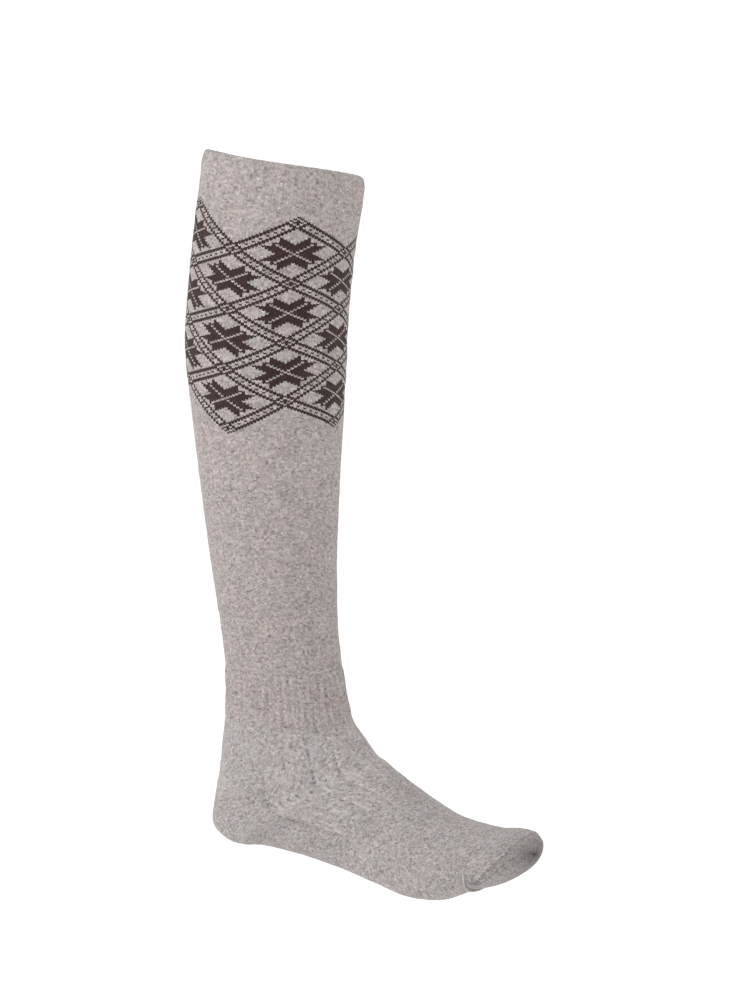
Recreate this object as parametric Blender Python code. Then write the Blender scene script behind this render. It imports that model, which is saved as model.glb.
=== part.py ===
"""A wool knee sock, held up as if worn: cuff, star band, lower leg, ankle ribs, heel, foot and toe.

The frame: metres, +Z up along the leg, +X towards the toes, +Y the sock's left.
The origin is the centre of the mouth. Each sub-part is a thin wall of knit, open where the sock is open.
"""

import math
from collections import namedtuple

import bmesh
import bpy
import numpy as np

# Heights of the leg's stretches, from the mouth down
CUFF_HEIGHT = 0.024
STAR_BAND_HEIGHT = 0.153
LOWER_LEG_HEIGHT = 0.150
ANKLE_RIB_HEIGHT = 0.034

# Depths run from front to back, widths from side to side
CALF_DEPTH = 0.106
CALF_WIDTH = 0.098
ANKLE_DEPTH = 0.078
ANKLE_WIDTH = 0.070
HEEL_WIDTH = 0.066
FOOT_WIDTH = 0.084

# The foot: its whole length, its toe's length, how far the heel stands out behind the ankle,
# how far the sole lies under the ankle ribs, and how far the toe's edge hangs under the heel
FOOT_LENGTH = 0.236
TOE_LENGTH = 0.031
TOE_RISE = 0.0065
HEEL_REACH = 0.014
SOLE_DEPTH = 0.084
FOOT_DROP = 0.026

# The knit: its thickness, the doubled cuff's, how far down the cuff's edge rounds off, and the ribs,
# each of two raised wales and one sunk
WALL = 0.0020
CUFF_WALL = 0.0030
CUFF_ROLL = 0.005
RIB_COUNT = 48
RIB_DEPTH = 0.0009
CUFF_RIB_DEPTH = 0.0005
SEAM_DIAMETER = 0.0016
SEAM_CLEARANCE = 0.0005
LIP_WALL = 0.0008
GAP = 0.0003

# The courses' slant, metres down for each metre forward, their lean, metres down for each metre to
# the left, both as at the mouth, and how far they dip at the sides of the calf
COURSE_SLANT = 0.130
COURSE_LEAN = 0.135
COURSE_DIP = 0.0100

# How finely the solids are drawn
COLUMNS = 48
RIB_COLUMNS = 3 * RIB_COUNT
CUFF_COLUMNS = 2 * RIB_COUNT
OUTLINE_STEPS = 360
TANGENT_SHARE = 0.0005
TUBE_ROWS = 5
FOOT_TUBE_ROWS = 4

LEG_LENGTH = CUFF_HEIGHT + STAR_BAND_HEIGHT + LOWER_LEG_HEIGHT + ANKLE_RIB_HEIGHT

# One section of the sock. Its front and back points span it, side is half its width, and lean and
# dip tilt and bow it. Belly is where it is widest, from back 0 to front 1, and front_power and
# back_power are 2 where that half is an ellipse and more where it is squarer.
Section = namedtuple(
    "Section", "front_x front_z back_x back_z side lean dip belly front_power back_power"
)

# Down: share of LEG_LENGTH. Middle: share of CALF_DEPTH, forward of the mouth's centre.
# Swell: 0 at the ankle's size, 1 at the calf's. Slant, lean and dip: shares of the courses' own.
LegRow = namedtuple("LegRow", "down middle swell slant lean dip")
LEG_ROWS = [
    LegRow(0.000, 0.000, 0.95, 1.00, 1.00, 0.22),
    LegRow(0.032, -0.012, 0.97, 1.02, 0.86, 0.45),
    LegRow(0.114, -0.060, 0.95, 1.20, 0.66, 0.84),
    LegRow(0.240, -0.113, 0.97, 1.18, 0.42, 0.95),
    LegRow(0.348, -0.136, 0.99, 1.10, 0.25, 0.98),
    LegRow(0.457, -0.126, 0.77, 0.96, 0.12, 0.96),
    LegRow(0.602, -0.108, 0.46, 0.62, 0.03, 0.65),
    LegRow(0.750, -0.078, 0.16, 0.25, 0.00, 0.25),
    LegRow(0.860, -0.039, 0.00, 0.00, 0.00, 0.00),
    LegRow(0.933, -0.011, 0.04, 0.00, 0.00, 0.00),
    LegRow(1.000, 0.012, 0.24, 0.00, 0.00, 0.00),
]

# Top along: 0 at the ankle's front, 1 at the toe's edge. Sole along: 0 at the heel's back, 1 at the
# toe's edge. Up: 0 at the sole's line, 1 at the ankle ribs. Breadth: 0 the heel's, 1 the foot's.
FootRow = namedtuple(
    "FootRow", "top_along top_up sole_along sole_up breadth belly front_power back_power"
)
FOOT_ROWS = [
    FootRow(0.057, 0.928, 0.052, 0.776, 0.28, 0.50, 2.00, 2.00),
    FootRow(0.113, 0.886, 0.037, 0.536, 0.17, 0.48, 1.95, 2.00),
    FootRow(0.165, 0.835, 0.019, 0.300, 0.06, 0.45, 1.90, 2.05),
    FootRow(0.212, 0.789, 0.014, 0.078, 0.00, 0.42, 1.90, 2.15),
    FootRow(0.255, 0.769, 0.085, -0.020, 0.06, 0.40, 1.90, 2.30),
    FootRow(0.302, 0.730, 0.220, 0.030, 0.22, 0.40, 1.90, 2.40),
    FootRow(0.358, 0.684, 0.375, 0.052, 0.44, 0.40, 1.95, 2.50),
    FootRow(0.425, 0.636, 0.515, 0.040, 0.61, 0.40, 1.95, 2.50),
    FootRow(0.557, 0.556, 0.650, 0.015, 0.83, 0.40, 2.00, 2.50),
    FootRow(0.708, 0.485, 0.776, -0.005, 1.00, 0.40, 2.05, 2.50),
    FootRow(0.858, 0.462, 0.888, 0.036, 0.94, 0.42, 2.10, 2.40),
    FootRow(1.000, 0.456, 0.984, 0.140, 0.61, 0.45, 2.15, 2.30),
]
HEEL_ROWS = 8
HEEL_TURN = 4

# The cuff's edge is drawn at these shares of its roll
ROLL_SHARES = (0.0, 0.25, 1.0)

# The toe rounds off from its edge to its tip, at these angles of a quarter turn
TOE_ANGLES = (18, 36, 52, 66, 78, 86)
TOE_BLUNTNESS = 0.78


def leg_section(row):
    """The section of the leg that a row gives."""
    depth = ANKLE_DEPTH + row.swell * (CALF_DEPTH - ANKLE_DEPTH)
    width = ANKLE_WIDTH + row.swell * (CALF_WIDTH - ANKLE_WIDTH)
    middle_x = row.middle * CALF_DEPTH
    middle_z = -row.down * LEG_LENGTH
    fall = row.slant * COURSE_SLANT * depth / 2
    return Section(
        middle_x + depth / 2,
        middle_z - fall,
        middle_x - depth / 2,
        middle_z + fall,
        width / 2,
        row.lean * COURSE_LEAN,
        row.dip * COURSE_DIP,
        0.5,
        2.0,
        2.0,
    )


def foot_section(row, ankle):
    """The section of the heel or foot that a row gives, below the leg's last section."""
    heel_x = ankle.back_x - HEEL_REACH
    edge_x = heel_x + FOOT_LENGTH - TOE_LENGTH
    ankle_z = -LEG_LENGTH

    def height(x, up):
        sole_z = ankle_z - SOLE_DEPTH - FOOT_DROP * (x - heel_x) / (edge_x - heel_x)
        return sole_z + up * (ankle_z - sole_z)

    top_x = ankle.front_x + row.top_along * (edge_x - ankle.front_x)
    sole_x = heel_x + row.sole_along * (edge_x - heel_x)
    side = (HEEL_WIDTH + row.breadth * (FOOT_WIDTH - HEEL_WIDTH)) / 2
    return Section(
        top_x,
        height(top_x, row.top_up),
        sole_x,
        height(sole_x, row.sole_up),
        side,
        0.0,
        0.0,
        row.belly,
        row.front_power,
        row.back_power,
    )


def toe_section(angle, edge):
    """The section of the toe at an angle of its quarter turn, from its edge 0 to its tip 90."""
    turn = math.radians(angle)
    reach, left = math.sin(turn), math.cos(turn) ** TOE_BLUNTNESS
    middle_x = (edge.front_x + edge.back_x) / 2 + TOE_LENGTH * reach
    middle_z = (edge.front_z + edge.back_z) / 2 + TOE_RISE * reach
    half_x = (edge.front_x - edge.back_x) / 2 * left
    half_z = (edge.front_z - edge.back_z) / 2 * left
    return edge._replace(
        front_x=middle_x + half_x,
        front_z=middle_z + half_z,
        back_x=middle_x - half_x,
        back_z=middle_z - half_z,
        side=edge.side * left,
    )


def all_sections():
    """Every section from the mouth to the toe's tip."""
    leg = [leg_section(row) for row in LEG_ROWS]
    foot = [foot_section(row, leg[-1]) for row in FOOT_ROWS]
    toe = [toe_section(angle, foot[-1]) for angle in TOE_ANGLES]
    return leg + foot + toe


class Sock:
    """The sock's outer surface, by distance along its middle line and share of the way round."""

    def __init__(self):
        self.rows = np.array(all_sections())
        middle = (self.rows[:, 0:2] + self.rows[:, 2:4]) / 2
        steps = np.hypot(*np.diff(middle, axis=0).T)
        self.places = np.concatenate([[0.0], np.cumsum(steps)])
        slopes = np.diff(self.rows, axis=0) / steps[:, None]
        weight = (steps[1:] / (steps[1:] + steps[:-1]))[:, None]
        inner = weight * slopes[:-1] + (1 - weight) * slopes[1:]
        self.slopes = np.concatenate([slopes[:1], inner, slopes[-1:]])
        self.ankle = self.places[len(LEG_ROWS) - 1]
        self.heel_end = self.places[len(LEG_ROWS) - 1 + HEEL_ROWS]
        self.toe_edge = self.places[len(LEG_ROWS) - 1 + len(FOOT_ROWS)]
        self.end = self.places[-1]

    def section(self, place):
        """The section at a distance along the middle line, on a smooth curve through the rows."""
        index = int(np.clip(np.searchsorted(self.places, place) - 1, 0, len(self.rows) - 2))
        span = self.places[index + 1] - self.places[index]
        t = (place - self.places[index]) / span
        start, stop = self.rows[index], self.rows[index + 1]
        leave, arrive = self.slopes[index] * span, self.slopes[index + 1] * span
        return Section(
            *(
                (2 * t**3 - 3 * t**2 + 1) * start
                + (t**3 - 2 * t**2 + t) * leave
                + (3 * t**2 - 2 * t**3) * stop
                + (t**3 - t**2) * arrive
            )
        )

    def outline(self, place):
        """Points round one section, closely spaced, from the front by the left and the back."""
        cut = self.section(place)
        turn = np.linspace(0, 2 * math.pi, OUTLINE_STEPS + 1)
        ahead, aside = np.cos(turn), np.sin(turn)
        power = np.where(ahead >= 0, cut.front_power, cut.back_power)
        along = np.abs(ahead) ** (2 / power)
        y = cut.side * np.sign(aside) * np.abs(aside) ** (2 / power)
        share = np.where(ahead >= 0, cut.belly + (1 - cut.belly) * along, cut.belly * (1 - along))
        x = cut.back_x + share * (cut.front_x - cut.back_x)
        z = cut.back_z + share * (cut.front_z - cut.back_z)
        z = z - cut.lean * y - cut.dip * np.abs(aside) ** 2
        return np.stack([x, y, z], axis=1)

    def ring(self, place, shares):
        """The points of a section at shares of the way round, measured along its outline."""
        dense = self.outline(place)
        run = np.concatenate([[0.0], np.cumsum(np.linalg.norm(np.diff(dense, axis=0), axis=1))])
        at = np.mod(shares, 1.0) * run[-1]
        return np.stack([np.interp(at, run, dense[:, axis]) for axis in range(3)], axis=1)

    def grid(self, places, shares):
        """Points and outward normals at each place along the sock and each share round it."""
        ahead, aside = self.end * TANGENT_SHARE, TANGENT_SHARE
        points = np.array([self.ring(place, shares) for place in places])
        down = np.array(
            [
                self.ring(min(place + ahead, self.end), shares)
                - self.ring(max(place - ahead, 0.0), shares)
                for place in places
            ]
        )
        around = np.array(
            [self.ring(place, shares + aside) - self.ring(place, shares - aside) for place in places]
        )
        normals = np.cross(around, down)
        return points, -normals / np.linalg.norm(normals, axis=2, keepdims=True)

    def place_at(self, drop):
        """The distance along the leg at which its middle lies this far under the mouth."""
        tries = np.linspace(0, self.ankle, OUTLINE_STEPS)
        drops = [-(cut.front_z + cut.back_z) / 2 for cut in map(self.section, tries)]
        return float(np.interp(drop, drops, tries))


def material(name, colour, roughness):
    """A plain knit material."""
    made = bpy.data.materials.new(name)
    made.use_nodes = True
    shader = made.node_tree.nodes["Principled BSDF"]
    shader.inputs["Base Color"].default_value = (*colour, 1.0)
    shader.inputs["Roughness"].default_value = roughness
    shader.inputs["Metallic"].default_value = 0.0
    return made


def thin_shell(name, outer, inner, cells, closed, finish, tip=None):
    """A closed thin wall over the cells of a grid, with its edges walled, as one object.

    Outer and inner hold a point for each row and column. Cells is True where there is knit.
    Closed joins the last column to the first. Tip gives the outer and inner points that close
    the last row.
    """
    rows, columns = outer.shape[:2]
    mesh = bmesh.new()
    layers = []
    for points in (outer, inner):
        verts = {}
        for row in range(rows):
            for column in range(columns):
                verts[row, column] = mesh.verts.new(points[row, column])
        layers.append(verts)
    top, bottom = layers

    def step(column):
        return (column + 1) % columns if closed else column + 1

    edges = {}
    for row, column in zip(*np.nonzero(cells), strict=True):
        corners = [
            (row, column),
            (row, step(column)),
            (row + 1, step(column)),
            (row + 1, column),
        ]
        mesh.faces.new([top[corner] for corner in corners])
        mesh.faces.new([bottom[corner] for corner in reversed(corners)])
        for start, stop in zip(corners, corners[1:] + corners[:1], strict=True):
            if (stop, start) in edges:
                del edges[stop, start]
            else:
                edges[start, stop] = True
    if tip is not None:
        ends = [mesh.verts.new(point) for point in tip]
        for start, stop in [edge for edge in edges if edge[0][0] == edge[1][0] == rows - 1]:
            mesh.faces.new([top[stop], top[start], ends[0]])
            mesh.faces.new([bottom[start], bottom[stop], ends[1]])
            del edges[start, stop]
    for start, stop in edges:
        mesh.faces.new([top[stop], top[start], bottom[start], bottom[stop]])
    bmesh.ops.delete(mesh, geom=[v for v in mesh.verts if not v.link_faces], context="VERTS")
    bmesh.ops.recalc_face_normals(mesh, faces=mesh.faces)
    bmesh.ops.triangulate(mesh, faces=mesh.faces)
    return finished(name, mesh, finish)


def finished(name, mesh, finish):
    """An object from a mesh, shaded smooth, with its material."""
    data = bpy.data.meshes.new(name)
    mesh.to_mesh(data)
    mesh.free()
    data.materials.append(finish)
    data.shade_smooth()
    made = bpy.data.objects.new(name, data)
    bpy.context.collection.objects.link(made)
    return made


def wall(sock, places, shares, thickness, relief=0.0):
    """The outer and inner points of a wall of knit, with a relief laid on the outer side."""
    points, normals = sock.grid(places, shares)
    thickness = np.broadcast_to(np.asarray(thickness), (len(places),))[:, None, None]
    relief = np.broadcast_to(np.asarray(relief), (len(places), len(shares)))[:, :, None]
    return points + relief * normals, points - thickness * normals


def round_shares(columns):
    """Shares of the way round, evenly spaced from the front."""
    return np.arange(columns) / columns


def cuff(sock, finish):
    """The doubled cuff, with shallow ribs and an edge that rounds off to the mouth."""
    bottom = sock.place_at(CUFF_HEIGHT) - GAP / 2
    depths = np.array([CUFF_ROLL * share for share in ROLL_SHARES] + [(CUFF_ROLL + bottom) / 2, bottom])
    drawn = 1 - np.sqrt(1 - np.clip(1 - depths / CUFF_ROLL, 0, 1) ** 2)
    shares = round_shares(CUFF_COLUMNS)
    side = np.where(np.arange(CUFF_COLUMNS) % 2 == 0, 0.5, -0.5)
    fade = np.array([0.0] * (len(depths) - 2) + [1.0, 0.0])
    relief = CUFF_RIB_DEPTH * fade[:, None] * side[None, :]
    relief = relief - (CUFF_WALL - LIP_WALL) * drawn[:, None]
    outer, inner = wall(sock, depths, shares, CUFF_WALL, relief)
    cells = np.ones((len(depths) - 1, CUFF_COLUMNS), bool)
    return thin_shell("cuff", outer, inner, cells, True, finish)


def plain_tube(name, sock, start, stop, finish):
    """A plain stretch of the leg."""
    places = np.linspace(start + GAP / 2, stop - GAP / 2, TUBE_ROWS + 1)
    outer, inner = wall(sock, places, round_shares(COLUMNS), WALL)
    return thin_shell(name, outer, inner, np.ones((TUBE_ROWS, COLUMNS), bool), True, finish)


def ankle_rib(sock, start, stop, finish):
    """The ribs above the ankle: two raised wales and one sunk, all the way round."""
    places = start + GAP / 2 + (stop - start - GAP) * np.array([0, 0.05, 0.5, 0.95, 1])
    raised = np.where(np.arange(RIB_COLUMNS) % 3 == 2, -0.5, 0.5)[None, :]
    fade = np.array([0.3, 1.0, 1.0, 1.0, 0.3])[:, None]
    outer, inner = wall(sock, places, round_shares(RIB_COLUMNS), WALL, RIB_DEPTH * fade * raised)
    cells = np.ones((len(places) - 1, RIB_COLUMNS), bool)
    return thin_shell("ankle_rib", outer, inner, cells, True, finish)


def side_shares(sock, inside):
    """Shares round the sock whose side columns stand half a gap to the front or the back."""
    shift = GAP / 2 / (math.pi * (ANKLE_WIDTH + ANKLE_DEPTH) / 2) * (1 if inside else -1)
    shares = round_shares(COLUMNS)
    shares[COLUMNS // 4] += shift
    shares[3 * COLUMNS // 4] -= shift
    return shares


def fan_places(sock, inside):
    """Places of the sections that fan round from the ankle to the sole, shared by heel and foot.

    Two more stand between the rows where the heel turns.
    """
    first = len(LEG_ROWS) - 1
    places = sock.places[first : first + HEEL_ROWS + 1]
    turn = (places[HEEL_TURN - 1 : HEEL_TURN + 1] + places[HEEL_TURN : HEEL_TURN + 2]) / 2
    places = np.sort(np.concatenate([places, turn]))
    places[0] += GAP / 2
    places[-1] += -GAP / 2 if inside else GAP / 2
    return places


def heel(sock, finish):
    """The heel's cup: the back half of the sections that fan round from the ankle to the sole."""
    places = fan_places(sock, True)
    shares = side_shares(sock, True)[COLUMNS // 4 : 3 * COLUMNS // 4 + 1]
    outer, inner = wall(sock, places, shares, WALL)
    cells = np.ones((len(places) - 1, COLUMNS // 2), bool)
    return thin_shell("heel", outer, inner, cells, False, finish)


def foot(sock, finish):
    """The instep over the heel's fan and the whole round of the foot as far as the toe."""
    fan = fan_places(sock, False)
    tube = np.linspace(fan[-1], sock.toe_edge - GAP / 2, FOOT_TUBE_ROWS + 1)
    places = np.concatenate([fan, tube[1:]])
    outer, inner = wall(sock, places, side_shares(sock, False), WALL)
    cells = np.ones((len(places) - 1, COLUMNS), bool)
    cells[: len(fan) - 1, COLUMNS // 4 : 3 * COLUMNS // 4] = False
    return thin_shell("foot", outer, inner, cells, True, finish)


def toe(sock, finish):
    """The toe's rounded pocket."""
    places = np.array([sock.toe_edge + GAP / 2, *sock.places[len(LEG_ROWS) + len(FOOT_ROWS) :]])
    outer, inner = wall(sock, places, round_shares(COLUMNS), WALL)
    last = sock.section(sock.end)
    edge = sock.section(sock.toe_edge)
    tip_x = (edge.front_x + edge.back_x) / 2 + TOE_LENGTH
    tip_z = (last.front_z + last.back_z) / 2
    tip = [(tip_x, 0, tip_z), (tip_x - WALL, 0, tip_z)]
    cells = np.ones((len(places) - 1, COLUMNS), bool)
    return thin_shell("toe", outer, inner, cells, True, finish, tip)


def toe_seam(sock, finish):
    """The linked seam that closes the toe's pocket under the foot, from side to side."""
    shares = round_shares(COLUMNS)[COLUMNS // 4 : 3 * COLUMNS // 4 + 1]
    points, normals = sock.grid(np.array([sock.toe_edge]), shares)
    route = points[0] + (SEAM_DIAMETER / 2 + SEAM_CLEARANCE) * normals[0]
    curve = bpy.data.curves.new("toe_seam", "CURVE")
    curve.dimensions = "3D"
    curve.bevel_depth = SEAM_DIAMETER / 2
    curve.bevel_resolution = 1
    curve.use_fill_caps = True
    spline = curve.splines.new("POLY")
    spline.points.add(len(route) - 1)
    for spot, place in zip(spline.points, route, strict=True):
        spot.co = (*place, 1.0)
    curve.materials.append(finish)
    made = bpy.data.objects.new("toe_seam", curve)
    bpy.context.collection.objects.link(made)
    return made


def build():
    """Clears the scene and builds the sock."""
    for old in list(bpy.data.objects):
        bpy.data.objects.remove(old, do_unlink=True)
    sock = Sock()
    oatmeal = material("oatmeal_wool", (0.40, 0.35, 0.34), 0.95)
    heather = material("heather_wool", (0.34, 0.30, 0.29), 0.95)
    starred = material("starred_wool", (0.20, 0.16, 0.15), 0.95)
    cuff_end = sock.place_at(CUFF_HEIGHT)
    band_end = sock.place_at(CUFF_HEIGHT + STAR_BAND_HEIGHT)
    rib_start = sock.place_at(LEG_LENGTH - ANKLE_RIB_HEIGHT)
    cuff(sock, oatmeal)
    plain_tube("star_band", sock, cuff_end, band_end, starred)
    plain_tube("lower_leg", sock, band_end, rib_start, oatmeal)
    ankle_rib(sock, rib_start, sock.ankle, oatmeal)
    heel(sock, heather)
    foot(sock, oatmeal)
    toe(sock, heather)
    toe_seam(sock, heather)


build()
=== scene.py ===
"""The looks of a wool knee sock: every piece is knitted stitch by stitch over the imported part.

Rows are courses, counted down from the pattern's top, and columns are wales, counted round from the
front. The outer side has two ridges for each stitch, the inner side is plain.
"""

import math
from collections import namedtuple

import bpy
import numpy as np
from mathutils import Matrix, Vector


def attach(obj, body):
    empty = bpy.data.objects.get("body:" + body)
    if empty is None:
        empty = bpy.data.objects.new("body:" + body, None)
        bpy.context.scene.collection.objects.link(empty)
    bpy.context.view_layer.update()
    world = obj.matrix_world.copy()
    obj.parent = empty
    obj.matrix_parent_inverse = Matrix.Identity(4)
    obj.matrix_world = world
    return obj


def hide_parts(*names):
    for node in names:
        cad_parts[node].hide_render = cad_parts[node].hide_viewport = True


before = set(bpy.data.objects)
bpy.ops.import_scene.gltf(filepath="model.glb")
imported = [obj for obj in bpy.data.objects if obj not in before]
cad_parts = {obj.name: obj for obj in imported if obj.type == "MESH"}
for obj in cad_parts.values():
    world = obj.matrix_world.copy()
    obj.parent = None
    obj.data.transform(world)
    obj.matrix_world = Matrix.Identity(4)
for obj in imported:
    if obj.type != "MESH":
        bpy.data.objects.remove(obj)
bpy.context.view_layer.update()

# Heights of the leg's stretches, from the mouth down
CUFF_HEIGHT = 0.024
STAR_BAND_HEIGHT = 0.153
LOWER_LEG_HEIGHT = 0.150
ANKLE_RIB_HEIGHT = 0.034

# Depths run from front to back, widths from side to side
CALF_DEPTH = 0.106
CALF_WIDTH = 0.098
ANKLE_DEPTH = 0.078
ANKLE_WIDTH = 0.070
HEEL_WIDTH = 0.066
FOOT_WIDTH = 0.084

# The foot: its whole length, its toe's length, how far the heel stands out behind the ankle,
# how far the sole lies under the ankle ribs, and how far the toe's edge hangs under the heel
FOOT_LENGTH = 0.236
TOE_LENGTH = 0.031
TOE_RISE = 0.0065
HEEL_REACH = 0.014
SOLE_DEPTH = 0.084
FOOT_DROP = 0.026

# The knit's thickness, the doubled cuff's and its lip's, how far down the cuff's edge rounds off,
# and the toe seam's thickness
WALL = 0.0020
CUFF_WALL = 0.0030
LIP_WALL = 0.0008
CUFF_ROLL = 0.005
SEAM_DIAMETER = 0.0016

# The courses' slant, metres down for each metre forward, their lean, metres down for each metre to
# the left, both as at the mouth, and how far they dip at the sides of the calf
COURSE_SLANT = 0.130
COURSE_LEAN = 0.135
COURSE_DIP = 0.0100

# How finely a section's outline is measured, and the step for its tangent
OUTLINE_STEPS = 360
TANGENT_SHARE = 0.0005

LEG_LENGTH = CUFF_HEIGHT + STAR_BAND_HEIGHT + LOWER_LEG_HEIGHT + ANKLE_RIB_HEIGHT

# One section of the sock. Its front and back points span it, side is half its width, and lean and
# dip tilt and bow it. Belly is where it is widest, from back 0 to front 1, and front_power and
# back_power are 2 where that half is an ellipse and more where it is squarer.
Section = namedtuple(
    "Section", "front_x front_z back_x back_z side lean dip belly front_power back_power"
)

# Down: share of LEG_LENGTH. Middle: share of CALF_DEPTH, forward of the mouth's centre.
# Swell: 0 at the ankle's size, 1 at the calf's. Slant, lean and dip: shares of the courses' own.
LegRow = namedtuple("LegRow", "down middle swell slant lean dip")
LEG_ROWS = [
    LegRow(0.000, 0.000, 0.95, 1.00, 1.00, 0.22),
    LegRow(0.032, -0.012, 0.97, 1.02, 0.86, 0.45),
    LegRow(0.114, -0.060, 0.95, 1.20, 0.66, 0.84),
    LegRow(0.240, -0.113, 0.97, 1.18, 0.42, 0.95),
    LegRow(0.348, -0.136, 0.99, 1.10, 0.25, 0.98),
    LegRow(0.457, -0.126, 0.77, 0.96, 0.12, 0.96),
    LegRow(0.602, -0.108, 0.46, 0.62, 0.03, 0.65),
    LegRow(0.750, -0.078, 0.16, 0.25, 0.00, 0.25),
    LegRow(0.860, -0.039, 0.00, 0.00, 0.00, 0.00),
    LegRow(0.933, -0.011, 0.04, 0.00, 0.00, 0.00),
    LegRow(1.000, 0.012, 0.24, 0.00, 0.00, 0.00),
]

# Top along: 0 at the ankle's front, 1 at the toe's edge. Sole along: 0 at the heel's back, 1 at the
# toe's edge. Up: 0 at the sole's line, 1 at the ankle ribs. Breadth: 0 the heel's, 1 the foot's.
FootRow = namedtuple(
    "FootRow", "top_along top_up sole_along sole_up breadth belly front_power back_power"
)
FOOT_ROWS = [
    FootRow(0.057, 0.928, 0.052, 0.776, 0.28, 0.50, 2.00, 2.00),
    FootRow(0.113, 0.886, 0.037, 0.536, 0.17, 0.48, 1.95, 2.00),
    FootRow(0.165, 0.835, 0.019, 0.300, 0.06, 0.45, 1.90, 2.05),
    FootRow(0.212, 0.789, 0.014, 0.078, 0.00, 0.42, 1.90, 2.15),
    FootRow(0.255, 0.769, 0.085, -0.020, 0.06, 0.40, 1.90, 2.30),
    FootRow(0.302, 0.730, 0.220, 0.030, 0.22, 0.40, 1.90, 2.40),
    FootRow(0.358, 0.684, 0.375, 0.052, 0.44, 0.40, 1.95, 2.50),
    FootRow(0.425, 0.636, 0.515, 0.040, 0.61, 0.40, 1.95, 2.50),
    FootRow(0.557, 0.556, 0.650, 0.015, 0.83, 0.40, 2.00, 2.50),
    FootRow(0.708, 0.485, 0.776, -0.005, 1.00, 0.40, 2.05, 2.50),
    FootRow(0.858, 0.462, 0.888, 0.036, 0.94, 0.42, 2.10, 2.40),
    FootRow(1.000, 0.456, 0.984, 0.140, 0.61, 0.45, 2.15, 2.30),
]

# How many of the foot's rows belong to the heel's fan
HEEL_ROWS = 8

# The toe rounds off from its edge to its tip, at these angles of a quarter turn
TOE_ANGLES = (18, 36, 52, 66, 78, 86)
TOE_BLUNTNESS = 0.78


def leg_section(row):
    """The section of the leg that a row gives."""
    depth = ANKLE_DEPTH + row.swell * (CALF_DEPTH - ANKLE_DEPTH)
    width = ANKLE_WIDTH + row.swell * (CALF_WIDTH - ANKLE_WIDTH)
    middle_x = row.middle * CALF_DEPTH
    middle_z = -row.down * LEG_LENGTH
    fall = row.slant * COURSE_SLANT * depth / 2
    return Section(
        middle_x + depth / 2,
        middle_z - fall,
        middle_x - depth / 2,
        middle_z + fall,
        width / 2,
        row.lean * COURSE_LEAN,
        row.dip * COURSE_DIP,
        0.5,
        2.0,
        2.0,
    )


def foot_section(row, ankle):
    """The section of the heel or foot that a row gives, below the leg's last section."""
    heel_x = ankle.back_x - HEEL_REACH
    edge_x = heel_x + FOOT_LENGTH - TOE_LENGTH
    ankle_z = -LEG_LENGTH

    def height(x, up):
        sole_z = ankle_z - SOLE_DEPTH - FOOT_DROP * (x - heel_x) / (edge_x - heel_x)
        return sole_z + up * (ankle_z - sole_z)

    top_x = ankle.front_x + row.top_along * (edge_x - ankle.front_x)
    sole_x = heel_x + row.sole_along * (edge_x - heel_x)
    side = (HEEL_WIDTH + row.breadth * (FOOT_WIDTH - HEEL_WIDTH)) / 2
    return Section(
        top_x,
        height(top_x, row.top_up),
        sole_x,
        height(sole_x, row.sole_up),
        side,
        0.0,
        0.0,
        row.belly,
        row.front_power,
        row.back_power,
    )


def toe_section(angle, edge):
    """The section of the toe at an angle of its quarter turn, from its edge 0 to its tip 90."""
    turn = math.radians(angle)
    reach, left = math.sin(turn), math.cos(turn) ** TOE_BLUNTNESS
    middle_x = (edge.front_x + edge.back_x) / 2 + TOE_LENGTH * reach
    middle_z = (edge.front_z + edge.back_z) / 2 + TOE_RISE * reach
    half_x = (edge.front_x - edge.back_x) / 2 * left
    half_z = (edge.front_z - edge.back_z) / 2 * left
    return edge._replace(
        front_x=middle_x + half_x,
        front_z=middle_z + half_z,
        back_x=middle_x - half_x,
        back_z=middle_z - half_z,
        side=edge.side * left,
    )


def all_sections():
    """Every section from the mouth to the toe's tip."""
    leg = [leg_section(row) for row in LEG_ROWS]
    foot = [foot_section(row, leg[-1]) for row in FOOT_ROWS]
    toe = [toe_section(angle, foot[-1]) for angle in TOE_ANGLES]
    return leg + foot + toe


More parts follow.
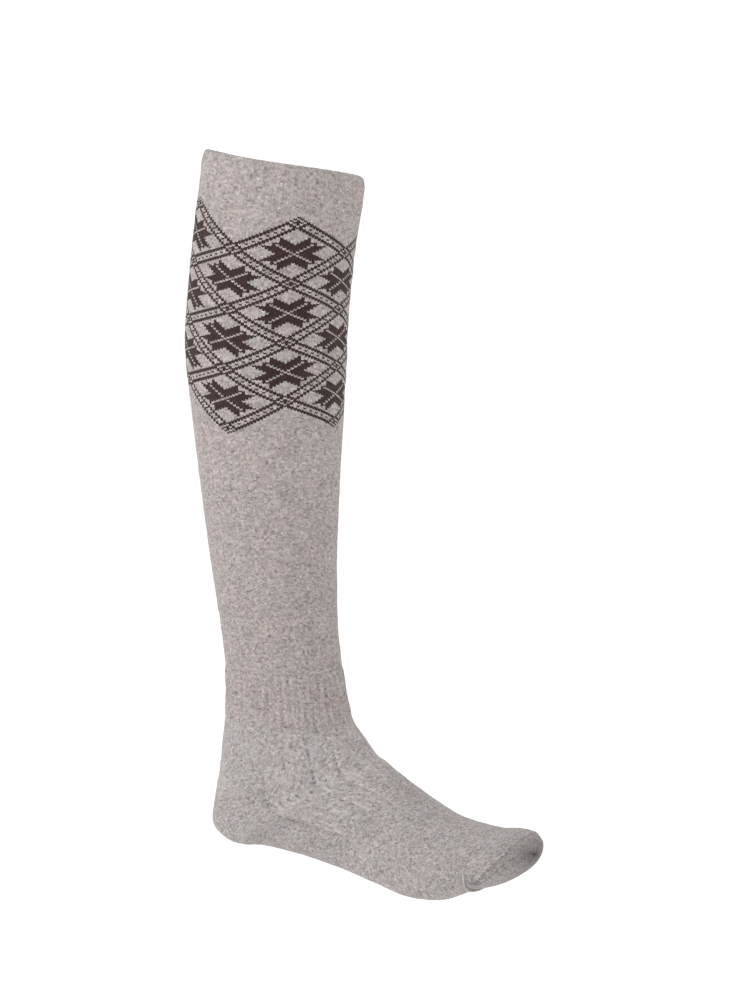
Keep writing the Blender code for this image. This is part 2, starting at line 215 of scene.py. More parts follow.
class Sock:
    """The sock's outer surface, by distance along its middle line and share of the way round."""

    def __init__(self):
        self.rows = np.array(all_sections())
        middle = (self.rows[:, 0:2] + self.rows[:, 2:4]) / 2
        steps = np.hypot(*np.diff(middle, axis=0).T)
        self.places = np.concatenate([[0.0], np.cumsum(steps)])
        slopes = np.diff(self.rows, axis=0) / steps[:, None]
        weight = (steps[1:] / (steps[1:] + steps[:-1]))[:, None]
        inner = weight * slopes[:-1] + (1 - weight) * slopes[1:]
        self.slopes = np.concatenate([slopes[:1], inner, slopes[-1:]])
        self.ankle = self.places[len(LEG_ROWS) - 1]
        self.heel_end = self.places[len(LEG_ROWS) - 1 + HEEL_ROWS]
        self.toe_edge = self.places[len(LEG_ROWS) - 1 + len(FOOT_ROWS)]
        self.end = self.places[-1]

    def section(self, place):
        """The section at a distance along the middle line, on a smooth curve through the rows."""
        index = int(np.clip(np.searchsorted(self.places, place) - 1, 0, len(self.rows) - 2))
        span = self.places[index + 1] - self.places[index]
        t = (place - self.places[index]) / span
        start, stop = self.rows[index], self.rows[index + 1]
        leave, arrive = self.slopes[index] * span, self.slopes[index + 1] * span
        return Section(
            *(
                (2 * t**3 - 3 * t**2 + 1) * start
                + (t**3 - 2 * t**2 + t) * leave
                + (3 * t**2 - 2 * t**3) * stop
                + (t**3 - t**2) * arrive
            )
        )

    def outline(self, place):
        """Points round one section, closely spaced, from the front by the left and the back."""
        cut = self.section(place)
        turn = np.linspace(0, 2 * math.pi, OUTLINE_STEPS + 1)
        ahead, aside = np.cos(turn), np.sin(turn)
        power = np.where(ahead >= 0, cut.front_power, cut.back_power)
        along = np.abs(ahead) ** (2 / power)
        y = cut.side * np.sign(aside) * np.abs(aside) ** (2 / power)
        share = np.where(ahead >= 0, cut.belly + (1 - cut.belly) * along, cut.belly * (1 - along))
        x = cut.back_x + share * (cut.front_x - cut.back_x)
        z = cut.back_z + share * (cut.front_z - cut.back_z)
        z = z - cut.lean * y - cut.dip * np.abs(aside) ** 2
        return np.stack([x, y, z], axis=1)

    def ring(self, place, shares):
        """The points of a section at shares of the way round, measured along its outline."""
        dense = self.outline(place)
        run = np.concatenate([[0.0], np.cumsum(np.linalg.norm(np.diff(dense, axis=0), axis=1))])
        at = np.mod(shares, 1.0) * run[-1]
        return np.stack([np.interp(at, run, dense[:, axis]) for axis in range(3)], axis=1)

    def grid(self, places, shares):
        """Points, outward normals and downward directions at each place and each share round it."""
        ahead, aside = self.end * TANGENT_SHARE, TANGENT_SHARE
        points = np.array([self.ring(place, shares) for place in places])
        down = np.array(
            [
                self.ring(min(place + ahead, self.end), shares)
                - self.ring(max(place - ahead, 0.0), shares)
                for place in places
            ]
        )
        around = np.array(
            [self.ring(place, shares + aside) - self.ring(place, shares - aside) for place in places]
        )
        normals = np.cross(around, down)
        normals = -normals / np.linalg.norm(normals, axis=2, keepdims=True)
        return points, normals, down / np.linalg.norm(down, axis=2, keepdims=True)

    def place_at(self, drop):
        """The distance along the leg at which its middle lies this far under the mouth."""
        tries = np.linspace(0, self.ankle, OUTLINE_STEPS)
        drops = [-(cut.front_z + cut.back_z) / 2 for cut in map(self.section, tries)]
        return float(np.interp(drop, drops, tries))

# The knit
WALES = 144
STEPS = 4
COURSE = 0.00107
WALE_SHIFT = -0.7
INNER_STEP = 16

# A stitch's four columns: how far each stands out, and how far it hangs down, in courses
COLUMN_HEIGHT = np.array([-0.00026, 0.00010, -0.00012, 0.00010])
COLUMN_HANG = np.array([-0.30, 0.05, 0.35, 0.05])

# The pattern: its first and last courses' heights, how much the upper courses crowd, its courses,
# its repeat in wales and in courses, and the star band's first and last course lines
PATTERN_TOP = -0.0294
PATTERN_FOOT = -0.1570
PATTERN_CROWD = 0.0037
PATTERN_COURSES = 126
REPEAT = 36
FIRST_COURSE = -6
LAST_COURSE = 146

# In stitches: half a lattice band's width, its edge's inner side, how far apart the dots along its
# middle are, and how far the star's petals, its cross and the light beads on its diagonals reach
BAND_HALF = 3
BAND_EDGE = 2
DOT_EVERY = 4
PETAL_WIDTH = 5
PETAL_LENGTH = 4
CROSS_REACH = 6
BEAD_REACH = 5

# How far the stitches and the cloth are uneven, how many stitches one of the cloth's waves takes,
# how many courses at a piece's edge stay even, and how much each stitch differs in tone
STITCH_JITTER = 0.00005
CLOTH_WAVE = 0.00012
WAVE_STITCHES = 6
EDGE_COURSES = 4
TONE_SPREAD = 1.0
TONE_SHARE = 0.1

# A piece's first course is tucked under its neighbour
TUCK_LENGTH = COURSE
TUCK_DEPTH = 0.0002

# The rings that close the toe: how many, how nearly they close, and how far they stand out, as a
# share of the last course's radius
TIP_RINGS = 6
TIP_CLOSED = 0.98
TIP_SWELL = 0.25

rng = np.random.default_rng(7)


def course_place(sock, course):
    """The place along the leg of one of the pattern's courses."""
    t = course / PATTERN_COURSES
    height = PATTERN_TOP + (PATTERN_FOOT - PATTERN_TOP) * t + PATTERN_CROWD * t * (1 - t)
    return sock.place_at(-height)


def star_stitch(across, down):
    """Whether a stitch of the eight-petalled star is dark, by its distance from the star's centre."""
    across, down = np.abs(across), np.abs(down)
    apart = np.abs(across - down)
    near, far = np.minimum(across, down), np.maximum(across, down)
    petals = (apart <= PETAL_WIDTH) & (near <= PETAL_LENGTH)
    cross = (apart <= 1) & (far <= CROSS_REACH)
    beads = (apart == 0) & (near <= BEAD_REACH)
    return (petals | cross) & ~beads


def chart(wale, course):
    """Whether each stitch of the lattice and its stars is dark."""
    half = REPEAT // 2
    one = np.mod(wale + course, REPEAT) - half
    other = np.mod(wale - course, REPEAT) - half
    top = np.abs(np.mod(wale, REPEAT) - half)
    foot = PATTERN_COURSES - half + top
    in_one, in_other = np.abs(one) <= BAND_HALF, np.abs(other) <= BAND_HALF
    apart = np.abs(np.where(in_one, one, other))
    run = np.where(in_one, other, one)
    band = (apart >= BAND_EDGE) | ((apart == 0) & (np.mod(run, DOT_EVERY) == 0))
    crossing = (np.mod(one, 2) == 1) | ((one == 0) & (other == 0))
    lattice = np.where(in_one & in_other, crossing, band)
    stars = star_stitch(np.mod(wale, REPEAT) - half, np.mod(course, REPEAT) - half)
    stars |= star_stitch(np.mod(wale + half, REPEAT) - half, np.mod(course + half, REPEAT) - half)
    framed = (course > top + BAND_HALF) & (course < foot - BAND_HALF)
    inside = (course >= top - BAND_HALF) & (course <= foot + BAND_HALF)
    return inside & np.where(in_one | in_other, lattice, stars & framed)


def even_places(sock, start, stop, share, length):
    """Places between two, evenly spaced along the knit at one share of the way round."""
    tries = np.linspace(start, stop, 200)
    points = np.array([sock.ring(place, np.array([share]))[0] for place in tries])
    run = np.concatenate([[0.0], np.cumsum(np.linalg.norm(np.diff(points, axis=0), axis=1))])
    count = max(2, round(run[-1] / length))
    return np.interp(np.linspace(0, run[-1], count + 1), run, tries)


def smooth_noise(shape, rows, columns, closed):
    """A smooth random sheet, one value for each row and column, with that many waves each way."""
    knots = rng.normal(size=(rows + 2, columns + (0 if closed else 2)))
    if closed:
        knots = np.concatenate([knots, knots[:, :1]], axis=1)
    y = np.linspace(0, knots.shape[0] - 1.001, shape[0])
    x = np.linspace(0, knots.shape[1] - 1.001, shape[1])
    row, column = y.astype(int)[:, None], x.astype(int)[None, :]
    ty, tx = (y - y.astype(int))[:, None], (x - x.astype(int))[None, :]
    ty, tx = ty * ty * (3 - 2 * ty), tx * tx * (3 - 2 * tx)
    top = knots[row, column] * (1 - tx) + knots[row, column + 1] * tx
    foot = knots[row + 1, column] * (1 - tx) + knots[row + 1, column + 1] * tx
    return top * (1 - ty) + foot * ty


def knitted(name, sock, places, first, wales, closed=True, **extra):
    """A closed wall of knit, stitched on its outer side, over a stretch of the sock.

    Places are the course lines. First is the first wale and wales how many there are. The extras:
    thickness, relief and marks, which add heights and tones, inset, which draws each course line
    inwards, dark, which says which stitches are dark, tip, how many rings close the end, and tuck,
    whether the piece starts with a course tucked under its neighbour.
    """
    thickness = extra.get("thickness", WALL)
    dark = extra.get("dark")
    tuck = extra.get("tuck", True)
    if tuck:
        places = np.concatenate([[places[0] - TUCK_LENGTH], places])
    rows = len(places) - 1
    lines = np.arange(wales * STEPS + (0 if closed else 1))
    wale_at = first + lines / STEPS
    shares = (wale_at - 0.5 + WALE_SHIFT) / WALES
    points, normals, step = sock.grid(places, shares)
    height = np.broadcast_to(COLUMN_HEIGHT[lines % STEPS], (rows + 1, len(lines))).copy()
    uneven = rng.normal(scale=STITCH_JITTER, size=height.shape)
    waves = rows // WAVE_STITCHES, wales // WAVE_STITCHES
    uneven += CLOTH_WAVE * smooth_noise(height.shape, *waves, closed)
    reach = np.arange(rows + 1) - (1 if tuck else 0)
    edge = np.clip(np.minimum(reach, rows - np.arange(rows + 1)) / EDGE_COURSES, 0, 1)
    height += uneven * edge[:, None]
    tone = rng.normal(scale=TONE_SPREAD, size=(rows, wales))
    if "relief" in extra:
        height += extra["relief"](wale_at, edge)
    if "inset" in extra:
        height -= extra["inset"][:, None]
    if "marks" in extra:
        lift, shade = extra["marks"](points, np.mod(shares + 0.5, 1) - 0.5, places)
        height += lift
        tone += shade[:rows, STEPS // 2 :: STEPS][:, :wales]
    if tuck:
        height[0] -= TUCK_DEPTH
    hang = COLUMN_HANG[lines % STEPS][None, :, None]
    outer = points + COURSE * hang * step + height[:, :, None] * normals
    inner_lines = lines[::INNER_STEP]
    if not closed and inner_lines[-1] != lines[-1]:
        inner_lines = np.append(inner_lines, lines[-1])
    inner = points[:, inner_lines] - thickness * normals[:, inner_lines]
    rings = extra.get("tip", 0)
    if rings:
        middle = outer[-1].mean(axis=0)
        reach = np.linalg.norm(outer[-1] - middle, axis=1).mean()
        ahead = np.array([middle + np.array([TIP_SWELL * reach, 0, 0])])
        outer = np.concatenate([outer, closing(outer[-1], ahead, rings)])
        inside = ahead - np.array([[thickness, 0, 0]])
        inner = np.concatenate([inner, closing(inner[-1], inside, rings)])
        tone = np.concatenate([tone, np.repeat(tone[-1:], rings, axis=0)])
    shade = np.zeros(tone.shape) if dark is None else np.concatenate([dark[:1], dark]).astype(float)
    return shell(name, outer, inner, inner_lines, closed, tone, shade)


def closing(ring, point, count):
    """Rings that shrink from one ring nearly to a point."""
    share = np.linspace(0, TIP_CLOSED, count + 1)[1:, None, None]
    return ring[None] * (1 - share) + point[None] * share


def shell(name, outer, inner, inner_lines, closed, tone, shade):
    """One closed mesh from a fine outer grid and an inner grid with fewer columns."""
    rows, lines = outer.shape[0] - 1, outer.shape[1]
    columns = lines if closed else lines - 1
    inner_count = len(inner_lines)
    inner_columns = inner_count if closed else inner_count - 1
    row, column = np.meshgrid(np.arange(rows), np.arange(columns), indexing="ij")
    right = (column + 1) % lines

    def at(r, c):
        return r * lines + c

    below = row + 1
    quads = np.stack([at(row, column), at(below, column), at(below, right), at(row, right)], axis=-1)
    u = np.stack([column, column, column + 1, column + 1], axis=-1) / STEPS
    v = np.stack([row, row + 1, row + 1, row], axis=-1).astype(float)
    base = outer.shape[0] * lines
    irow, icolumn = np.meshgrid(np.arange(rows), np.arange(inner_columns), indexing="ij")
    iright = (icolumn + 1) % inner_count

    def at_inner(r, c):
        return base + r * inner_count + c

    inner_quads = np.stack(
        [
            at_inner(irow, icolumn),
            at_inner(irow, iright),
            at_inner(irow + 1, iright),
            at_inner(irow + 1, icolumn),
        ],
        axis=-1,
    )
    faces = [quads.reshape(-1, 4), inner_quads.reshape(-1, 4)]
    triangles = []
    for r, flip in ((0, False), (rows, True)):
        for j in range(inner_columns):
            start = inner_lines[j]
            stop = inner_lines[j + 1] if j + 1 < inner_count else columns
            middle = (start + stop) // 2
            for k in range(start, stop):
                near = j if k < middle else (j + 1) % inner_count
                corner = [at_inner(r, near), at(r, k), at(r, (k + 1) % lines)]
                triangles.append(corner[::-1] if flip else corner)
            corner = [at_inner(r, j), at(r, middle % lines), at_inner(r, (j + 1) % inner_count)]
            triangles.append(corner[::-1] if flip else corner)
    if not closed:
        sides = []
        end, inner_end = lines - 1, inner_count - 1
        for r in range(rows):
            s = r + 1
            sides.append([at(r, 0), at_inner(r, 0), at_inner(s, 0), at(s, 0)])
            sides.append([at(s, end), at_inner(s, inner_end), at_inner(r, inner_end), at(r, end)])
        faces.append(np.array(sides))
    verts = np.concatenate([outer.reshape(-1, 3), inner.reshape(-1, 3)])
    four = np.concatenate(faces)
    three = np.array(triangles)
    mesh = bpy.data.meshes.new(name)
    mesh.vertices.add(len(verts))
    mesh.vertices.foreach_set("co", verts.astype(np.float32).ravel())
    loops = np.concatenate([four.ravel(), three.ravel()])
    mesh.loops.add(len(loops))
    mesh.loops.foreach_set("vertex_index", loops.astype(np.int32))
    starts = np.concatenate([np.arange(len(four)) * 4, len(four) * 4 + np.arange(len(three)) * 3])
    mesh.polygons.add(len(starts))
    mesh.polygons.foreach_set("loop_start", starts.astype(np.int32))
    mesh.update(calc_edges=True)
    smooth = np.arange(len(starts)) < len(faces[0]) + len(faces[1])
    mesh.polygons.foreach_set("use_smooth", smooth)
    uv = np.zeros((len(loops), 2), np.float32)
    count = quads.size
    uv[:count, 0] = u.ravel()
    uv[:count, 1] = v.ravel()
    layer = mesh.uv_layers.new(name="knit")
    layer.data.foreach_set("uv", uv.ravel())
    colour = np.zeros((len(loops), 4), np.float32)
    colour[:, 1] = 0.5
    colour[:, 3] = 1.0
    stitch = np.repeat(column // STEPS, 4)
    course = np.repeat(row, 4)
    colour[:count, 0] = shade[course.ravel(), stitch.ravel()]
    colour[:count, 1] = 0.5 + TONE_SHARE * tone[course.ravel(), stitch.ravel()]
    attribute = mesh.color_attributes.new(name="yarn", type="FLOAT_COLOR", domain="CORNER")
    attribute.data.foreach_set("color", colour.ravel())
    made = bpy.data.objects.new(name, mesh)
    bpy.context.scene.collection.objects.link(made)
    return made


# A noise of the wool: its size, by waves in a metre, its detail and roughness, and its weight
Noise = namedtuple("Noise", "scale detail roughness weight")
FLECK = Noise(420.0, 2.0, 0.6, 0.8)
FINE = Noise(1000.0, 3.0, 0.75, 2.0)
CLOUD = Noise(70.0, 1.0, 0.5, 0.20)
TINT = Noise(60.0, 3.0, 0.6, 1.0)
STITCH_WEIGHT = 3.0

# The yarn's cooler and warmer flecks, as shares of its own colour
COOL = (0.965, 1.005, 1.0)
WARM = (1.035, 0.99, 0.985)

# The stitches' fine relief: how much of it stays at a stitch's ends, how much the finest noise adds,
# its strength and its depth
STITCH_ENDS = 0.4
FUZZ = 0.5
RELIEF_STRENGTH = 0.7
RELIEF_DEPTH = 0.0003

# The wool's dull surface
SURFACE = {
    "Roughness": 0.95,
    "Specular IOR Level": 0.25,
    "Sheen Weight": 0.12,
    "Sheen Roughness": 0.6,
}


class Wool:
    """Builds one wool material's shader, node by node."""

    def __init__(self, name):
        self.made = bpy.data.materials.new(name)
        self.made.use_nodes = True
        self.tree = self.made.node_tree
        self.shader = self.tree.nodes["Principled BSDF"]

    def node(self, kind, **settings):
        """A new node with its settings."""
        made = self.tree.nodes.new(kind)
        for key, value in settings.items():
            setattr(made, key, value)
        return made

    def put(self, value, socket):
        """Links an output to a socket, or sets the socket's value."""
        if isinstance(value, bpy.types.NodeSocket):
            self.tree.links.new(value, socket)
        else:
            socket.default_value = value

    def sum(self, operation, first, second=0.0, third=0.0):
        """The output of a math node."""
        made = self.node("ShaderNodeMath", operation=operation)
        for value, socket in zip((first, second, third), made.inputs, strict=True):
            self.put(value, socket)
        return made.outputs[0]

    def blend(self, amount, first, second, kind="MIX"):
        """The output of a colour mix."""
        made = self.node("ShaderNodeMix", data_type="RGBA", blend_type=kind)
        self.put(amount, made.inputs[0])
        self.put(first, made.inputs[6])
        self.put(second, made.inputs[7])
        return made.outputs[2]

    def noise(self, where, kind):
        """The value of a noise, from about -1 to 1."""
        made = self.node("ShaderNodeTexNoise")
        self.put(where, made.inputs["Vector"])
        made.inputs["Scale"].default_value = kind.scale
        made.inputs["Detail"].default_value = kind.detail
        made.inputs["Roughness"].default_value = kind.roughness
        return self.sum("MULTIPLY_ADD", made.outputs["Fac"], 2.0, -1.0)


def wool(name, light, dark, speckle):
    """A melange wool: its light and dark yarns, its speckle, and the rounded legs of its stitches."""
    made = Wool(name + "_knit")
    where = made.node("ShaderNodeTexCoord").outputs["Object"]
    knit = made.node("ShaderNodeUVMap", uv_map="knit").outputs[0]
    parts = made.node("ShaderNodeSeparateXYZ")
    made.put(knit, parts.inputs[0])
    yarn = made.node("ShaderNodeVertexColor", layer_name="yarn")
    split = made.node("ShaderNodeSeparateColor")
    made.put(yarn.outputs[0], split.inputs[0])

    fleck, fine, cloud, tint = (made.noise(where, kind) for kind in (FLECK, FINE, CLOUD, TINT))
    tone = made.sum("SUBTRACT", split.outputs[1], 0.5)
    level = made.sum("MULTIPLY", fleck, FLECK.weight * speckle)
    level = made.sum("MULTIPLY_ADD", fine, FINE.weight * speckle, level)
    level = made.sum("MULTIPLY_ADD", cloud, CLOUD.weight * speckle, level)
    level = made.sum("MULTIPLY_ADD", tone, STITCH_WEIGHT * speckle, level)
    level = made.sum("ADD", level, 1.0)
    warm = made.sum("MULTIPLY_ADD", tint, TINT.weight, 0.5)
    sides = [(*(a * b for a, b in zip(light, cast, strict=True)), 1) for cast in (COOL, WARM)]
    pale = made.blend(warm, *sides)
    base = made.blend(split.outputs[0], pale, (*dark, 1))
    shade = made.node("ShaderNodeCombineColor")
    for socket in shade.inputs:
        made.put(level, socket)
    colour = made.blend(1.0, base, shade.outputs[0], "MULTIPLY")
    made.put(colour, made.shader.inputs["Base Color"])

    leg = made.sum("FRACT", made.sum("MULTIPLY", parts.outputs[0], 2.0))
    leg = made.sum("MULTIPLY_ADD", leg, 2.0, -1.0)
    leg = made.sum("SUBTRACT", 1.0, made.sum("MULTIPLY", leg, leg))
    bead = made.sum("MULTIPLY_ADD", made.sum("FRACT", parts.outputs[1]), 2.0, -1.0)
    bead = made.sum("SUBTRACT", 1.0, made.sum("MULTIPLY", bead, bead))
    bead = made.sum("MULTIPLY_ADD", bead, 1 - STITCH_ENDS, STITCH_ENDS)
    stitch = made.sum("MULTIPLY", leg, bead)
    stitch = made.sum("MULTIPLY_ADD", fine, FUZZ, stitch)
    bump = made.node("ShaderNodeBump")
    bump.inputs["Strength"].default_value = RELIEF_STRENGTH
    bump.inputs["Distance"].default_value = RELIEF_DEPTH
    made.put(stitch, bump.inputs["Height"])
    made.put(bump.outputs[0], made.shader.inputs["Normal"])

    for key, value in SURFACE.items():
        made.shader.inputs[key].default_value = value
    return made.made


def finished_piece(piece, finish, node):
    """Gives a piece its material and its body, and hides the node that it stands for."""
    piece.data.materials.append(finish)
    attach(piece, "root")
    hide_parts(node)
    return piece


# The two lines on each side of the instep: a raised wale with a sunk one beside it, with painted
# highlight on the raised wale and painted shade in the sunk one. Wales from the front at the start
# and at the stop, and the places between which the line shows
InstepLine = namedtuple("InstepLine", "start_wale stop_wale start stop")
INSTEP_LINES = [
    InstepLine(18.6, 20.6, 0.371, 0.478),
    InstepLine(11.0, 13.2, 0.378, 0.502),
]
# How far the raised wale stands out, and the strength of the lines' painted highlight and shade
LINE_LIFT = 0.00022
LINE_PAINTED_LIGHT_AND_SHADE = 1.1

# In wales: from the raised wale to the sunk one, and their widths. The painted shade in the sunk
# wale as a share of the painted highlight on the raised one. In metres: how slowly a line starts,
# and from where to where about its stop it fades
LINE_GAP = 1.3
LINE_WIDTH = 0.6
LINE_CREST = 0.5
LINE_PAINTED_SHADE_SHARE = 1.2
LINE_START_FADE = 0.004
LINE_STOP_EARLY = 0.02
LINE_STOP_LATE = 0.006

# The toe's gore line, in the sock's side view
ToePoint = namedtuple("ToePoint", "x z")
TOE_LINE = [
    ToePoint(0.1530, -0.4440),
    ToePoint(0.1640, -0.4312),
    ToePoint(0.1688, -0.4262),
    ToePoint(0.1712, -0.4200),
]
# The pucker where the gore line starts: its middle, reach and depth, and the painted shade in its
# dent
PUCKER = (0.1528, -0.4440)
PUCKER_REACH = 0.0030
PUCKER_DEPTH = 0.0008
PUCKER_PAINTED_SHADE = 2.4

# The gore's pale line, a painted highlight on its ridge, and the ridge, the dark line beyond it,
# and the knit's tone past both
GORE_PAINTED_HIGHLIGHT = 1.5
GORE_WIDTH = 0.0006
GORE_LIFT = 0.00025
GORE_RIDGE = 0.0007
GORE_DARK = 0.9
GORE_DARK_AT = 0.0016
GORE_DARK_WIDTH = 0.0010
GORE_REACH = 0.0030
GORE_PAST = 0.10
GORE_PAST_FADE = 0.002

# The heel's cup is darker under this place, and has a darker line along its sides
HEEL_DARK_START = 0.400
HEEL_DARK_FADE = 0.010
HEEL_DARK = 0.35
HEEL_LINE_STOP = 0.462
HEEL_LINE_EARLY = 0.006
HEEL_LINE_LATE = 0.004
HEEL_LINE_DARK = 1.3
HEEL_LINE_AT = 1.5
HEEL_LINE_PALE = 0.8
HEEL_PALE_AT = 0.2
HEEL_PALE_WIDTH = 0.6

# The heel's outermost wales are tucked under the instep
SIDE_TUCK = -0.0006

# The cuff's lower edge is slightly darker in front
EDGE_TONE = 0.9
EDGE_WIDTH = 0.0012
EDGE_SPAN = 0.12

# Ribs: the wales of one, and how far each kind's wave stands out in all
RIB_WALES = 3
CUFF_RIBS = 0.0005
ANKLE_RIBS = 0.0013


def bell(distance, width):
    """A smooth bump, 1 at its middle."""
    return np.exp(-((distance / width) ** 2))


def ramp(value, start, stop):
    """0 before the start, 1 after the stop, smooth between."""
    t = np.clip((value - start) / (stop - start), 0, 1)
    return t * t * (3 - 2 * t)


def foot_marks_and_painted_light(points, shares, places):
    """The instep's lines on both sides, with painted highlight and shade on their wales."""
    lift, tone = np.zeros(points.shape[:2]), np.zeros(points.shape[:2])
    at = places[:, None]
    for line in INSTEP_LINES:
        along = np.clip((at - line.start) / (line.stop - line.start), 0, 1)
        middle = line.start_wale + (line.stop_wale - line.start_wale) * along
        off = np.abs(shares)[None, :] * WALES - middle
        fade = ramp(at, line.start - LINE_START_FADE, line.start + LINE_START_FADE)
        fade = fade * ramp(-at, -line.stop - LINE_STOP_LATE, -line.stop + LINE_STOP_EARLY)
        sunk = bell(off - LINE_GAP, LINE_WIDTH)
        lift += fade * LINE_LIFT * (bell(off, LINE_CREST) - sunk)
        # Painted highlight along the raised wale and painted shade along the sunk one
        tone += fade * LINE_PAINTED_LIGHT_AND_SHADE * (bell(off, LINE_WIDTH) - LINE_PAINTED_SHADE_SHARE * sunk)
    return lift, tone


def heel_marks(points, shares, places):
    """The darker lower half of the heel, and the line along its sides."""
    at = places[:, None]
    from_side = (np.abs(shares)[None, :] - 0.25) * WALES
    lower = ramp(at, HEEL_DARK_START - HEEL_DARK_FADE, HEEL_DARK_START + HEEL_DARK_FADE)
    line = lower * ramp(-at, -HEEL_LINE_STOP - HEEL_LINE_LATE, -HEEL_LINE_STOP + HEEL_LINE_EARLY)
    tone = -HEEL_DARK * lower - HEEL_LINE_DARK * line * bell(from_side - HEEL_LINE_AT, 1.0)
    tone = tone + HEEL_LINE_PALE * line * bell(from_side - HEEL_PALE_AT, HEEL_PALE_WIDTH)
    return SIDE_TUCK * np.clip(-from_side, 0, 1) * np.ones_like(tone), tone


def toe_marks_and_painted_light(points, shares, places):
    """The toe's gore line with painted highlight, darker knit beyond it, and painted shade where it
    starts in a pucker.
    """
    x, z = points[..., 0], points[..., 2]
    best = np.full(x.shape, 1.0)
    beyond = np.zeros(x.shape)
    for start, stop in zip(TOE_LINE, TOE_LINE[1:], strict=False):
        ahead = np.array([stop.x - start.x, stop.z - start.z])
        length = np.hypot(*ahead)
        along = np.clip(((x - start.x) * ahead[0] + (z - start.z) * ahead[1]) / length**2, 0, 1)
        off = np.hypot(x - start.x - along * ahead[0], z - start.z - along * ahead[1])
        side = ((x - start.x) * ahead[1] - (z - start.z) * ahead[0]) / length
        beyond = np.where(off < best, side, beyond)
        best = np.minimum(best, off)
    dent = bell(np.hypot(x - PUCKER[0], z - PUCKER[1]), PUCKER_REACH)
    dark = bell(beyond - GORE_DARK_AT, GORE_DARK_WIDTH) * (best < GORE_REACH)
    # The pale line is painted highlight on the gore's ridge; the dark line lies beyond it
    tone = GORE_PAINTED_HIGHLIGHT * bell(best, GORE_WIDTH) - GORE_DARK * dark
    # The knit past the gore is darker, and the pucker's dent is darkened with painted shade
    tone = tone - GORE_PAST * ramp(beyond, 0, GORE_PAST_FADE) - PUCKER_PAINTED_SHADE * dent
    return -PUCKER_DEPTH * dent + GORE_LIFT * bell(best, GORE_RIDGE), tone


def rib_relief(depth):
    """A relief of ribs, each of two raised wales and one sunk, that fades in and out.

    Depth is from a rib's top to its foot.
    """

    def relief(wale_at, edge):
        wave = np.cos((wale_at - 0.5) * 2 * math.pi / RIB_WALES)
        return depth * 0.5 * edge[:, None] * wave[None, :]

    return relief


def cuff_marks(points, shares, places):
    """A slightly darker line along the cuff's lower edge, in front."""
    edge = bell(places[:, None] - places[-1], EDGE_WIDTH)
    tone = -EDGE_TONE * edge * bell(np.abs(shares)[None, :], EDGE_SPAN)
    return np.zeros(tone.shape), tone


sock = Sock()

# The yarns of the leg, of the foot and of the pattern, in linear light
YARN = (0.385, 0.343, 0.331)
GREY_YARN = (0.392, 0.358, 0.350)
DARK_YARN = (0.034, 0.017, 0.015)
SPECKLE = 0.46
oatmeal = wool("oatmeal_wool", YARN, DARK_YARN, SPECKLE)
heather = wool("heather_wool", GREY_YARN, DARK_YARN, SPECKLE)
starred = wool("starred_wool", YARN, DARK_YARN, SPECKLE)

cuff_end = sock.place_at(CUFF_HEIGHT)
band_end = sock.place_at(CUFF_HEIGHT + STAR_BAND_HEIGHT)
rib_start = sock.place_at(LEG_LENGTH - ANKLE_RIB_HEIGHT)

# How many course lines the cuff's rounded edge, the rest of the cuff, the lower leg and the ankle's
# ribs have
ROLL_LINES = 8
CUFF_LINES = 19
LEG_LINES = 141
RIB_LINES = 33

roll = CUFF_ROLL * (1 - np.cos(np.linspace(0, 1, ROLL_LINES) * math.pi / 2))
down = np.linspace(CUFF_ROLL, cuff_end, CUFF_LINES)[1:]
places = np.concatenate([roll, down])
drawn = np.clip(1 - places / CUFF_ROLL, 0, 1)
inset = (CUFF_WALL - LIP_WALL) * (1 - np.sqrt(1 - drawn**2))
cuff = knitted(
    "knit_cuff",
    sock,
    places,
    0,
    WALES,
    thickness=CUFF_WALL,
    relief=rib_relief(CUFF_RIBS),
    inset=inset,
    marks=cuff_marks,
    tuck=False,
)
finished_piece(cuff, oatmeal, "cuff")

courses = np.arange(FIRST_COURSE, LAST_COURSE + 1)
places = np.array([course_place(sock, course) for course in courses])
places[0], places[-1] = cuff_end, band_end
wale_grid, course_grid = np.meshgrid(np.arange(WALES), courses[:-1])
band = knitted("knit_star_band", sock, places, 0, WALES, dark=chart(wale_grid, course_grid))
finished_piece(band, starred, "star_band")

places = np.linspace(band_end, rib_start, LEG_LINES)
leg = knitted("knit_lower_leg", sock, places, 0, WALES)
finished_piece(leg, oatmeal, "lower_leg")

places = np.linspace(rib_start, sock.ankle, RIB_LINES)
ribs = knitted("knit_ankle_rib", sock, places, 0, WALES, relief=rib_relief(ANKLE_RIBS))
finished_piece(ribs, oatmeal, "ankle_rib")

# The wale where the heel and the instep meet
SIDE = WALES / 4 + 0.5 - WALE_SHIFT

places = even_places(sock, sock.ankle, sock.heel_end, 0.5, COURSE)
heel = knitted("knit_heel", sock, places, SIDE - 1, WALES // 2 + 2, False, marks=heel_marks)
finished_piece(heel, heather, "heel")

places = even_places(sock, sock.ankle, sock.heel_end, 0.0, COURSE)
instep = knitted("knit_instep", sock, places, SIDE + WALES / 2, WALES // 2, False, marks=foot_marks_and_painted_light)
finished_piece(instep, heather, "foot")

places = even_places(sock, sock.heel_end, sock.toe_edge, 0.25, COURSE)
foot = knitted("knit_foot", sock, places, 0, WALES, marks=foot_marks_and_painted_light)
finished_piece(foot, heather, "foot")

places = even_places(sock, sock.toe_edge, sock.end, 0.25, COURSE)
toe = knitted("knit_toe", sock, places, 0, WALES, marks=toe_marks_and_painted_light, tip=TIP_RINGS)
finished_piece(toe, heather, "toe")

# The toe's seam: its points, the sides of its section, and its beads, each of three points
SEAM_POINTS = 220
SEAM_SIDES = 8
BEAD_POINTS = 3
BEAD_SWELL = 0.15


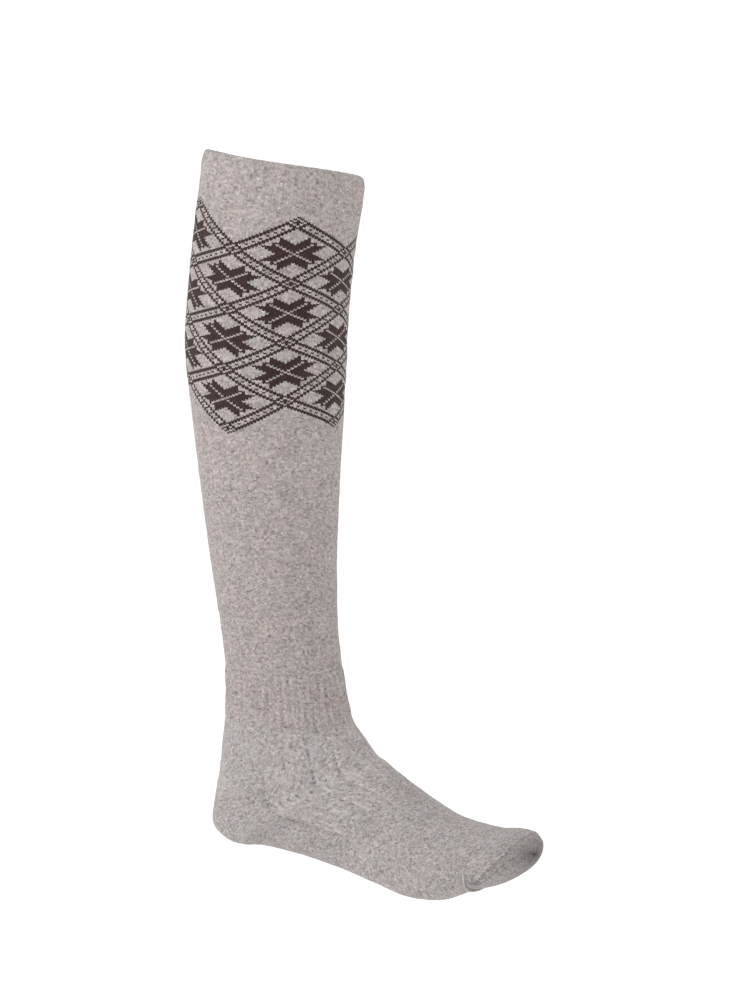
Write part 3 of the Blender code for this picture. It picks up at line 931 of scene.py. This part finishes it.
def toe_seam():
    """The beaded seam under the toe, from side to side."""
    shares = np.linspace(0.25, 0.75, SEAM_POINTS)
    points, normals, step = sock.grid(np.array([sock.toe_edge]), shares)
    turn = np.linspace(0, 2 * math.pi, SEAM_SIDES + 1)[:-1]
    swell = np.cos(np.arange(SEAM_POINTS) * 2 * math.pi / BEAD_POINTS)
    radius = (SEAM_DIAMETER / 2 * (1 + BEAD_SWELL * swell))[:, None, None]
    route = points[0] + (SEAM_DIAMETER / 2) * normals[0]
    rings = (
        route[:, None]
        + radius * np.cos(turn)[None, :, None] * normals[0][:, None]
        + radius * np.sin(turn)[None, :, None] * step[0][:, None]
    )
    verts = rings.reshape(-1, 3)
    faces = []
    for i in range(0, SEAM_SIDES * (SEAM_POINTS - 1), SEAM_SIDES):
        for j in range(SEAM_SIDES):
            k = (j + 1) % SEAM_SIDES
            faces.append((i + j, i + k, i + SEAM_SIDES + k, i + SEAM_SIDES + j))
    last = SEAM_SIDES * (SEAM_POINTS - 1)
    faces += [tuple(range(SEAM_SIDES))[::-1], tuple(range(last, last + SEAM_SIDES))]
    mesh = bpy.data.meshes.new("knit_toe_seam")
    mesh.from_pydata([tuple(v) for v in verts], [], faces)
    mesh.shade_smooth()
    yarn = mesh.color_attributes.new("yarn", "FLOAT_COLOR", "POINT")
    yarn.data.foreach_set("color", np.tile([0.0, 0.5, 0.0, 1.0], len(verts)))
    made = bpy.data.objects.new("knit_toe_seam", mesh)
    bpy.context.scene.collection.objects.link(made)
    return made


finished_piece(toe_seam(), heather, "toe_seam")

# The camera: what it faces, its distance, azimuth and elevation
target = Vector((0.0513, 0.0271, -0.2178))
DISTANCE = 1.8
AZIMUTH, ELEVATION = math.radians(27.5), math.radians(9.0)
camera_data = bpy.data.cameras.new("camera")
camera_data.lens = 99.69
camera_data.sensor_width = 36.0
camera = bpy.data.objects.new("camera", camera_data)
bpy.context.scene.collection.objects.link(camera)
back = Vector(
    (
        math.sin(AZIMUTH) * math.cos(ELEVATION),
        -math.cos(AZIMUTH) * math.cos(ELEVATION),
        math.sin(ELEVATION),
    )
)
camera.location = target + DISTANCE * back
camera.rotation_mode = "QUATERNION"
camera.rotation_quaternion = (-back).to_track_quat("-Z", "Y")
bpy.context.scene.camera = camera

# A wide pale floor, well under the sock
floor_mesh = bpy.data.meshes.new("floor")
SIZE, FLOOR = 12.0, -0.8
corners = [(-SIZE, -SIZE), (SIZE, -SIZE), (SIZE, SIZE), (-SIZE, SIZE)]
floor_mesh.from_pydata([(x, y, FLOOR) for x, y in corners], [], [(0, 1, 2, 3)])
floor = bpy.data.objects.new("floor", floor_mesh)
bpy.context.scene.collection.objects.link(floor)
pale = bpy.data.materials.new("pale_floor")
pale.use_nodes = True
paint = pale.node_tree.nodes["Principled BSDF"].inputs
paint["Base Color"].default_value = (0.99, 0.99, 0.99, 1)
paint["Roughness"].default_value = 1.0
floor_mesh.materials.append(pale)


def soft_light(name, place, size, energy):
    """A soft square light that faces the sock's middle."""
    data = bpy.data.lights.new(name, "AREA")
    data.size = size
    data.energy = energy
    made = bpy.data.objects.new(name, data)
    made.location = place
    made.rotation_mode = "QUATERNION"
    made.rotation_quaternion = (target - Vector(place)).to_track_quat("-Z", "Y")
    bpy.context.scene.collection.objects.link(made)


soft_light("key_light", (-1.3, -1.6, 0.7), 1.2, 14.0)

world = bpy.data.worlds.new("studio")
world.use_nodes = True
sky = world.node_tree.nodes["Background"].inputs
sky["Color"].default_value = (1, 1, 1, 1)
sky["Strength"].default_value = 1.08
bpy.context.scene.world = world
bpy.context.scene.view_settings.view_transform = "Standard"
